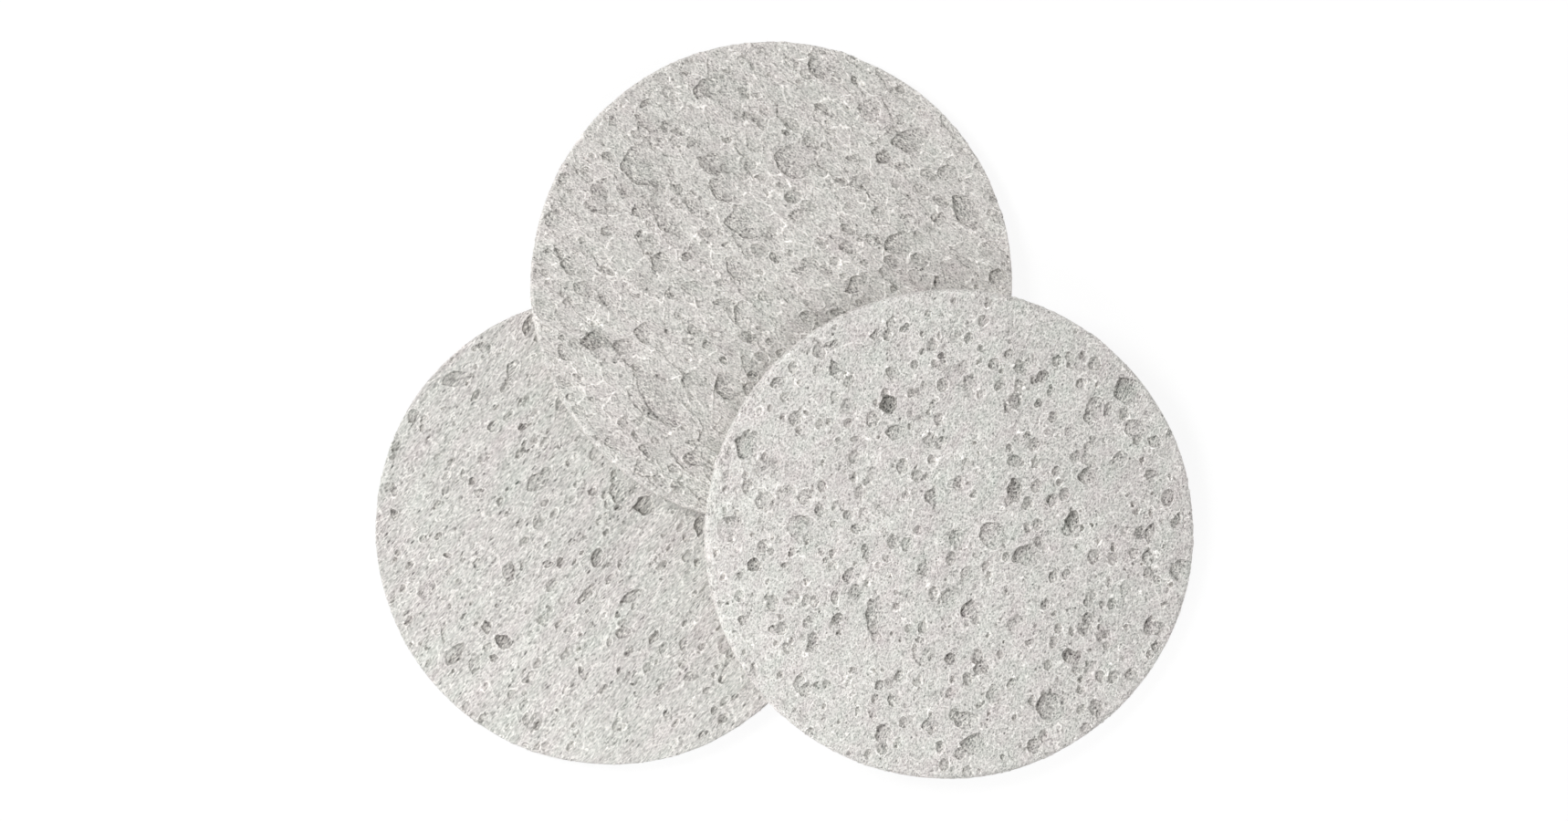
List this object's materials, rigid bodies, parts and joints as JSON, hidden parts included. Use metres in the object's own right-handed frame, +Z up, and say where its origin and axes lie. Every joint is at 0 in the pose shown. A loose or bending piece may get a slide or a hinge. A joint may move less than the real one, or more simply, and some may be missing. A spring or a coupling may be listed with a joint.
{
  "type": "cellulose sponge discs",
  "caption": "Loose overlapping pile of round, dry, pressed cellulose facial sponges with rounded rims and open pores; each disc lifts off the one it lies on.",
  "frame": {"origin": "on the resting surface, under the middle of the pile's bounding box", "axes": "+Z up out of the surface, +X from the bottom disc towards the top disc, +Y towards the middle disc"},
  "size_m": [0.1274, 0.1148, 0.0135],
  "materials": {
    "bottom_cellulose": "matt, dry, finely porous",
    "middle_cellulose": "matt, dry, wide flattened pores",
    "top_cellulose": "matt, dry, round open pores"
  },
  "bodies": {
    "bottom_disc": {"bottom_sponge_disc": "bottom_cellulose"},
    "middle_disc": {"middle_sponge_disc": "middle_cellulose"},
    "top_disc": {"top_sponge_disc": "top_cellulose"}
  },
  "joints": [
    {"name": "lift_middle_disc", "type": "slide", "parent": "bottom_disc", "child": "middle_disc", "axis": [0, 0, 1], "range_m": [0, 0.03]},
    {"name": "lift_top_disc", "type": "slide", "parent": "middle_disc", "child": "top_disc", "axis": [0, 0, 1], "range_m": [0, 0.03]}
  ]
}
